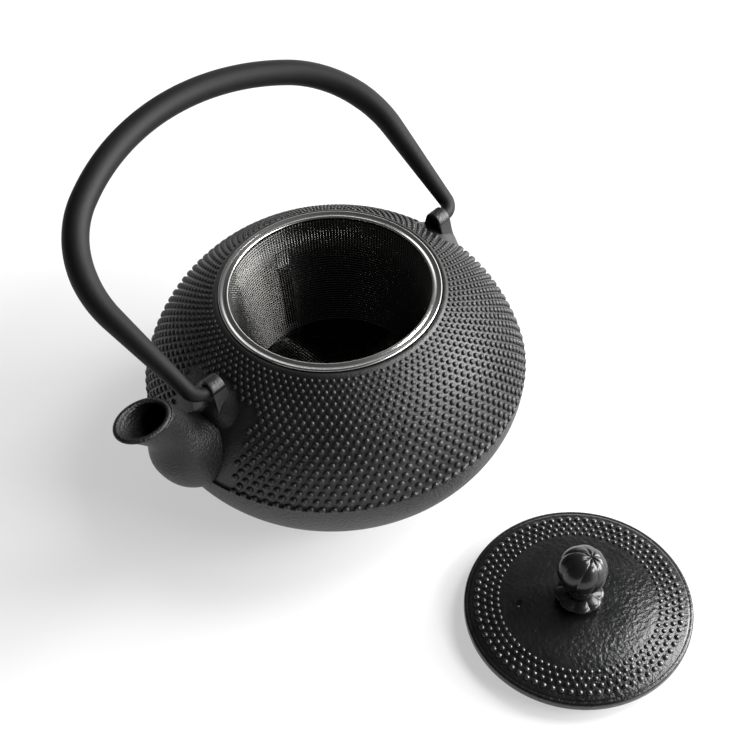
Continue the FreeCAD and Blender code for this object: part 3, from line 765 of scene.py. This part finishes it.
def build_object():
    """Every piece of the teapot on its body, and finishes for the CAD nodes that stay."""
    shell_with_bowl(*turned(pot_outline(), 240))
    make_piece("dome_studs", *dome_studs(), "pot", "pot_iron", dome_iron, weld=False)
    make_piece("spout", *spout(), "pot", "pot_iron", spout_shaded_iron)
    for side, sign in (("left", -1), ("right", 1)):
        bored_ear(side, sign)
        make_piece("ear_root_" + side, *ear_root(sign), "pot", "pot_iron", dome_iron)
    make_piece("bail_bar", *bail(), "bail", "handle_iron", handle_iron, replaces="handle")
    make_piece("basket_flange", *turned(rim_outline(), 192), "basket", "rim_steel", rim_steel,
               replaces="infuser_rim")
    make_piece("mesh_uprights", *wall_uprights(), "basket", "mesh_steel", mesh_steel,
               replaces="infuser_wall", weld=False)
    make_piece("mesh_rounds", *wall_rounds(), "basket", "mesh_steel", mesh_steel, weld=False)
    make_piece("mesh_floor", *floor_wires(), "basket", "mesh_steel", mesh_steel,
               replaces="infuser_floor", weld=False)
    make_piece("mesh_seam", *seam_wires(), "basket", "mesh_steel", mesh_steel,
               replaces="infuser_seam", weld=False)
    vented_lid()
    make_piece("lid_studs", *lid_stud_rows(), "cover", "lid_iron", stud_iron, weld=False)
    make_piece("fruit_knob", *knob(), "cover", "knob_iron", knob_iron, replaces="knob")
    make_piece("petal_seat", *knob_seat(), "cover", "knob_iron", knob_iron, replaces="knob_seat")
    for node in ("infuser_hoop", "knob_screw", "knob_washer"):
        node_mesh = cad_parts[node].data
        node_mesh.materials.clear()
        node_mesh.materials.append(rim_steel)


# Stage, light and camera

def background_rays(tree, mirrored):
    """One for rays straight from the camera or through glass, and the mirrored share for glossy rays."""
    path, both = tree.nodes.new("ShaderNodeLightPath"), tree.nodes.new("ShaderNodeMath")
    gloss = tree.nodes.new("ShaderNodeMath")
    gloss.operation, gloss.use_clamp = "MULTIPLY_ADD", True
    gloss.inputs[1].default_value = mirrored
    both.use_clamp = True
    tree.links.new(path.outputs["Is Camera Ray"], both.inputs[0])
    tree.links.new(path.outputs["Is Transmission Ray"], both.inputs[1])
    tree.links.new(path.outputs["Is Glossy Ray"], gloss.inputs[0])
    tree.links.new(both.outputs["Value"], gloss.inputs[2])
    return gloss.outputs["Value"]


def stage():
    """Wide pale floor: matt paper that keeps the shadows, and a white that grows with distance.

    The white shows to camera, transmission and glossy rays alone, so it lights nothing else.
    """
    material, tree, shader = new_material("paper")
    shader.inputs["Base Color"].default_value = (0.90, 0.90, 0.90, 1)
    shader.inputs["Roughness"].default_value = 0.9
    shader.inputs["Specular IOR Level"].default_value = 0.1
    white = tree.nodes.new("ShaderNodeEmission")
    share, blend = tree.nodes.new("ShaderNodeMath"), tree.nodes.new("ShaderNodeMixShader")
    share.operation = "MULTIPLY"
    place, distance = tree.nodes.new("ShaderNodeTexCoord"), tree.nodes.new("ShaderNodeVectorMath")
    distance.operation = "LENGTH"
    fade = tree.nodes.new("ShaderNodeMapRange")
    set_range(fade, (0.5, 1.6), (0.5, 1.0))
    tree.links.new(place.outputs["Object"], distance.inputs[0])
    tree.links.new(distance.outputs["Value"], fade.inputs["Value"])
    tree.links.new(fade.outputs["Result"], share.inputs[1])
    tree.links.new(background_rays(tree, 1.0), share.inputs[0])
    tree.links.new(share.outputs["Value"], blend.inputs["Fac"])
    tree.links.new(shader.outputs["BSDF"], blend.inputs[1])
    tree.links.new(white.outputs["Emission"], blend.inputs[2])
    tree.links.new(blend.outputs["Shader"], tree.nodes["Material Output"].inputs["Surface"])
    reach = 6.0
    mesh = bpy.data.meshes.new("floor")
    corners = [(-reach, -reach, 0), (reach, -reach, 0), (reach, reach, 0), (-reach, reach, 0)]
    mesh.from_pydata(corners, [], [(0, 1, 2, 3)])
    mesh.materials.append(material)
    floor = bpy.data.objects.new("floor", mesh)
    bpy.context.scene.collection.objects.link(floor)


# Way to the glowing wall, the least glow, and how much of the white behind the picture metal mirrors.
GLOW_WAY, LEAST_GLOW, WHITE_MIRRORED = (0.93, -0.33, 0.10), 0.02, 0.06
# Soft boxes: name, place, target, two sides in metres, watts.
SOFT_BOXES = (("key", (0.95, -0.74, 0.50), (0, -0.02, 0.05), (0.8, 0.5), 24.0),
              ("strip", (0.36, -1.05, 0.78), (0, 0, 0.09), (0.5, 0.25), 8.0),
              ("overhead", (0.60, -0.34, 0.85), (0, -0.08, 0.03), (0.45, 0.45), 9.0))


def soft_box(name, place, target, size, power):
    """Rectangular lamp at a place, facing its target, with its sides in metres and power in watts."""
    lamp = bpy.data.lights.new(name, "AREA")
    lamp.shape, lamp.size, lamp.size_y, lamp.energy = "RECTANGLE", size[0], size[1], power
    holder = bpy.data.objects.new(name, lamp)
    way = Vector(target) - Vector(place)
    holder.matrix_world = Matrix.Translation(place) @ way.to_track_quat("-Z", "Y").to_matrix().to_4x4()
    bpy.context.scene.collection.objects.link(holder)


def light():
    """Studio whose walls glow low down on the key's side, dark overhead, and white behind the picture."""
    world = bpy.data.worlds.new("studio")
    world.use_nodes = True
    tree = world.node_tree
    background = tree.nodes["Background"]
    place, parts = tree.nodes.new("ShaderNodeTexCoord"), tree.nodes.new("ShaderNodeSeparateXYZ")
    facing = tree.nodes.new("ShaderNodeVectorMath")
    facing.operation = "DOT_PRODUCT"
    facing.inputs[1].default_value = GLOW_WAY
    side, low = tree.nodes.new("ShaderNodeMapRange"), tree.nodes.new("ShaderNodeMapRange")
    side.interpolation_type = low.interpolation_type = "SMOOTHSTEP"
    set_range(side, (-0.1, 0.9), (0.05, 3.2))
    set_range(low, (0.20, 0.62), (1.0, 0.06))
    glow = tree.nodes.new("ShaderNodeMath")
    glow.operation = "MULTIPLY_ADD"
    glow.inputs[2].default_value = LEAST_GLOW
    seen = tree.nodes.new("ShaderNodeMix")
    seen.inputs["B"].default_value = 1.0
    tree.links.new(place.outputs["Generated"], facing.inputs[0])
    tree.links.new(place.outputs["Generated"], parts.inputs["Vector"])
    tree.links.new(facing.outputs["Value"], side.inputs["Value"])
    tree.links.new(parts.outputs["Z"], low.inputs["Value"])
    tree.links.new(side.outputs["Result"], glow.inputs[0])
    tree.links.new(low.outputs["Result"], glow.inputs[1])
    tree.links.new(background_rays(tree, WHITE_MIRRORED), seen.inputs["Factor"])
    tree.links.new(glow.outputs["Value"], seen.inputs["A"])
    tree.links.new(seen.outputs["Result"], background.inputs["Strength"])
    background.inputs["Color"].default_value = (1, 1, 1, 1)
    bpy.context.scene.world = world
    for box in SOFT_BOXES:
        soft_box(*box)


CAMERA_PLACE = np.array([-260.9, -294.9, 484.6]) * MM
CAMERA_FORWARD = np.array([0.4562, 0.4770, -0.7512])
CAMERA_RIGHT = np.array([0.6981, -0.7154, -0.0303])
FOCAL_PIXELS, IMAGE_WIDTH = 1492.7, 750


def camera():
    """Camera at the photograph's own place, with a focal length given in pixels of the image."""
    lens = bpy.data.cameras.new("camera")
    lens.sensor_width = 36.0
    lens.sensor_fit = "HORIZONTAL"
    lens.lens = lens.sensor_width * FOCAL_PIXELS / IMAGE_WIDTH
    forward = CAMERA_FORWARD / np.linalg.norm(CAMERA_FORWARD)
    right = CAMERA_RIGHT - forward * (CAMERA_RIGHT @ forward)
    right /= np.linalg.norm(right)
    above = np.cross(right, forward)
    pose = Matrix.Identity(4)
    for i, column in enumerate((right, above, -forward, CAMERA_PLACE)):
        for j in range(3):
            pose[j][i] = column[j]
    holder = bpy.data.objects.new("camera", lens)
    holder.matrix_world = pose
    bpy.context.scene.collection.objects.link(holder)
    bpy.context.scene.camera = holder


build_object()
stage()
light()
camera()
bpy.context.scene.view_settings.view_transform = "Standard"
